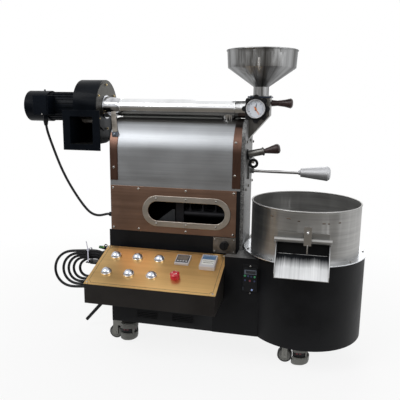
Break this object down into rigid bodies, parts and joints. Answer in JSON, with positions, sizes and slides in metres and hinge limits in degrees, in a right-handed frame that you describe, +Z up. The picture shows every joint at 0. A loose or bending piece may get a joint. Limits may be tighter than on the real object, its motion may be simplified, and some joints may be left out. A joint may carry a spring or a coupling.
{
  "type": "coffee roaster",
  "caption": "Gas-fired drum coffee roaster on levelling casters, with feed hopper, exhaust blower, sloping control desk and a round stirred cooling tray.",
  "frame": {"origin": "on the floor under the middle of the machine, cords left out", "axes": "+X along the drum from the blower to the cooling tray, +Y from the control desk to the back, +Z up"},
  "size_m": [1.2286, 0.4695, 1.012],
  "materials": {
    "black_coat": "satin powder coat",
    "steel": "brushed",
    "copper_sheet": "brushed brown copper",
    "gold_sheet": "satin gold",
    "cast_grey": "hammered grey paint",
    "chrome": "polished",
    "dark_steel": "heat-dulled steel",
    "wood": "oiled dark wood",
    "black_plastic": "moulded",
    "red_plastic": "glossy",
    "black_rubber": "dull",
    "orange_paint": "matt"
  },
  "bodies": {
    "frame": {"base_cabinet": "black_coat", "cooling_base": "black_coat", "control_box": "black_coat", "control_panel": "gold_sheet", "instruments": "black_plastic", "burner_chamber": "black_coat", "window_panel": "copper_sheet", "window_frame": "steel", "rear_plate": "black_coat", "front_plate": "cast_grey", "jacket": "steel", "end_straps": "copper_sheet", "drum_bearings": "steel", "motors": "dark_steel", "drive_chain": "dark_steel", "chain_guard": "black_coat", "burner": "dark_steel", "feed_chute": "black_coat", "hopper": "steel", "gauge": "black_plastic", "exhaust_pipe": "chrome", "fan_housing": "black_coat", "fan_motor": "black_coat", "cooling_tray": "steel", "cord_fittings": "black_coat", "screws": "chrome", "motor_cable": "black_rubber", "supply_cord": "black_rubber", "supply_coil": "black_rubber", "supply_cores": "black_rubber"},
    "drum_group": {"drum": "dark_steel", "drum_shaft": "steel"},
    "sprocket": {"motor_sprocket": "steel"},
    "impeller": {"fan_impeller": "steel"},
    "stirrer_group": {"stirrer": "dark_steel"},
    "fan": {"cooling_fan": "dark_steel"},
    "gate": {"feed_gate": "wood"},
    "needle": {"gauge_needle": "orange_paint"},
    "sleeve": {"trier_sleeve": "steel"},
    "trier_rod": {"trier": "wood"},
    "door": {"discharge_door": "cast_grey", "door_lever": "chrome"},
    "pull_ring": {"door_latch": "black_plastic"},
    "tray_shutter": {"tray_gate": "steel"},
    "gas_knob": {"burner_knob": "black_plastic"},
    "stop": {"stop_button": "red_plastic"},
    "key_1": {"button_1": "chrome"},
    "key_2": {"button_2": "chrome"},
    "key_3": {"button_3": "chrome"},
    "key_4": {"button_4": "chrome"},
    "key_5": {"button_5": "chrome"},
    "key_6": {"button_6": "chrome"},
    "swivel_1": {"caster_1": "cast_grey"},
    "wheel_1": {"caster_wheel_1": "black_plastic"},
    "swivel_2": {"caster_2": "cast_grey"},
    "wheel_2": {"caster_wheel_2": "black_plastic"},
    "swivel_3": {"caster_3": "cast_grey"},
    "wheel_3": {"caster_wheel_3": "black_plastic"},
    "swivel_4": {"caster_4": "cast_grey"},
    "wheel_4": {"caster_wheel_4": "black_plastic"}
  },
  "joints": [
    {"name": "drum_turn", "type": "hinge", "parent": "frame", "child": "drum_group", "pos_m": [-0.05825, 0.10325, 0.675], "axis": [1, 0, 0], "continuous": true},
    {"name": "sprocket_turn", "type": "hinge", "parent": "frame", "child": "sprocket", "pos_m": [-0.25825, 0.10325, 0.275], "axis": [1, 0, 0], "continuous": true},
    {"name": "impeller_spin", "type": "hinge", "parent": "frame", "child": "impeller", "pos_m": [-0.35825, 0.10325, 0.8195], "axis": [1, 0, 0], "continuous": true},
    {"name": "stirrer_turn", "type": "hinge", "parent": "frame", "child": "stirrer_group", "pos_m": [0.41375, 0.03425, 0.4], "axis": [0, 0, 1], "continuous": true},
    {"name": "cooling_fan_spin", "type": "hinge", "parent": "frame", "child": "fan", "pos_m": [0.41375, 0.03425, 0.19], "axis": [0, 0, 1], "continuous": true},
    {"name": "feed_gate_slide", "type": "slide", "parent": "frame", "child": "gate", "axis": [1, 0, 0], "range_m": [0, 0.05]},
    {"name": "needle_turn", "type": "hinge", "parent": "frame", "child": "needle", "pos_m": [0.23475, 0.05125, 0.821], "axis": [0, 1, 0], "range_deg": [-210, 25]},
    {"name": "sleeve_turn", "type": "hinge", "parent": "frame", "child": "sleeve", "pos_m": [0.21175, 0.04325, 0.671], "axis": [0.9763, 0, 0.2164], "range_deg": [-90, 90]},
    {"name": "trier_slide", "type": "slide", "parent": "sleeve", "child": "trier_rod", "axis": [0.9763, 0, 0.2164], "range_m": [0, 0.1]},
    {"name": "door_hinge", "type": "hinge", "parent": "frame", "child": "door", "pos_m": [0.22075, 0.10325, 0.646], "axis": [0, -1, 0], "range_deg": [0, 40]},
    {"name": "ring_swing", "type": "hinge", "parent": "frame", "child": "pull_ring", "pos_m": [0.23275, 0.05825, 0.644], "axis": [0, 1, 0], "range_deg": [-60, 60]},
    {"name": "tray_gate_lift", "type": "slide", "parent": "frame", "child": "tray_shutter", "axis": [0, 0, 1], "range_m": [0, 0.042]},
    {"name": "knob_turn", "type": "hinge", "parent": "frame", "child": "gas_knob", "pos_m": [0.15175, -0.00675, 0.367], "axis": [0, 1, 0], "range_deg": [0, 90]},
    {"name": "stop_press", "type": "slide", "parent": "frame", "child": "stop", "axis": [0, 0.3146, -0.9492], "range_m": [0, 0.004], "stiffness_N_per_m": 600, "springref_m": -0.0012},
    {"name": "key_1_press", "type": "slide", "parent": "frame", "child": "key_1", "axis": [0, 0.3146, -0.9492], "range_m": [0, 0.003], "stiffness_N_per_m": 1500, "springref_m": -0.0012},
    {"name": "key_2_press", "type": "slide", "parent": "frame", "child": "key_2", "axis": [0, 0.3146, -0.9492], "range_m": [0, 0.003], "stiffness_N_per_m": 1500, "springref_m": -0.0012},
    {"name": "key_3_press", "type": "slide", "parent": "frame", "child": "key_3", "axis": [0, 0.3146, -0.9492], "range_m": [0, 0.003], "stiffness_N_per_m": 1500, "springref_m": -0.0012},
    {"name": "key_4_press", "type": "slide", "parent": "frame", "child": "key_4", "axis": [0, 0.3146, -0.9492], "range_m": [0, 0.003], "stiffness_N_per_m": 1500, "springref_m": -0.0012},
    {"name": "key_5_press", "type": "slide", "parent": "frame", "child": "key_5", "axis": [0, 0.3146, -0.9492], "range_m": [0, 0.003], "stiffness_N_per_m": 1500, "springref_m": -0.0012},
    {"name": "key_6_press", "type": "slide", "parent": "frame", "child": "key_6", "axis": [0, 0.3146, -0.9492], "range_m": [0, 0.003], "stiffness_N_per_m": 1500, "springref_m": -0.0012},
    {"name": "swivel_1_turn", "type": "hinge", "parent": "frame", "child": "swivel_1", "pos_m": [-0.19225, -0.04475, 0.06], "axis": [0, 0, 1], "continuous": true},
    {"name": "wheel_1_roll", "type": "hinge", "parent": "swivel_1", "child": "wheel_1", "pos_m": [-0.23025, -0.04475, 0.026], "axis": [0, 1, 0], "continuous": true},
    {"name": "swivel_2_turn", "type": "hinge", "parent": "frame", "child": "swivel_2", "pos_m": [0.40975, -0.06875, 0.06], "axis": [0, 0, 1], "continuous": true},
    {"name": "wheel_2_roll", "type": "hinge", "parent": "swivel_2", "child": "wheel_2", "pos_m": [0.37175, -0.06875, 0.026], "axis": [0, 1, 0], "continuous": true},
    {"name": "swivel_3_turn", "type": "hinge", "parent": "frame", "child": "swivel_3", "pos_m": [-0.19225, 0.18325, 0.06], "axis": [0, 0, 1], "continuous": true},
    {"name": "wheel_3_roll", "type": "hinge", "parent": "swivel_3", "child": "wheel_3", "pos_m": [-0.23025, 0.18325, 0.026], "axis": [0, 1, 0], "continuous": true},
    {"name": "swivel_4_turn", "type": "hinge", "parent": "frame", "child": "swivel_4", "pos_m": [0.40975, 0.13825, 0.06], "axis": [0, 0, 1], "continuous": true},
    {"name": "wheel_4_roll", "type": "hinge", "parent": "swivel_4", "child": "wheel_4", "pos_m": [0.37175, 0.13825, 0.026], "axis": [0, 1, 0], "continuous": true}
  ],
  "couplings": [
    {"joint": "sprocket_turn", "follows": "drum_turn", "ratio": 1.5333}
  ]
}
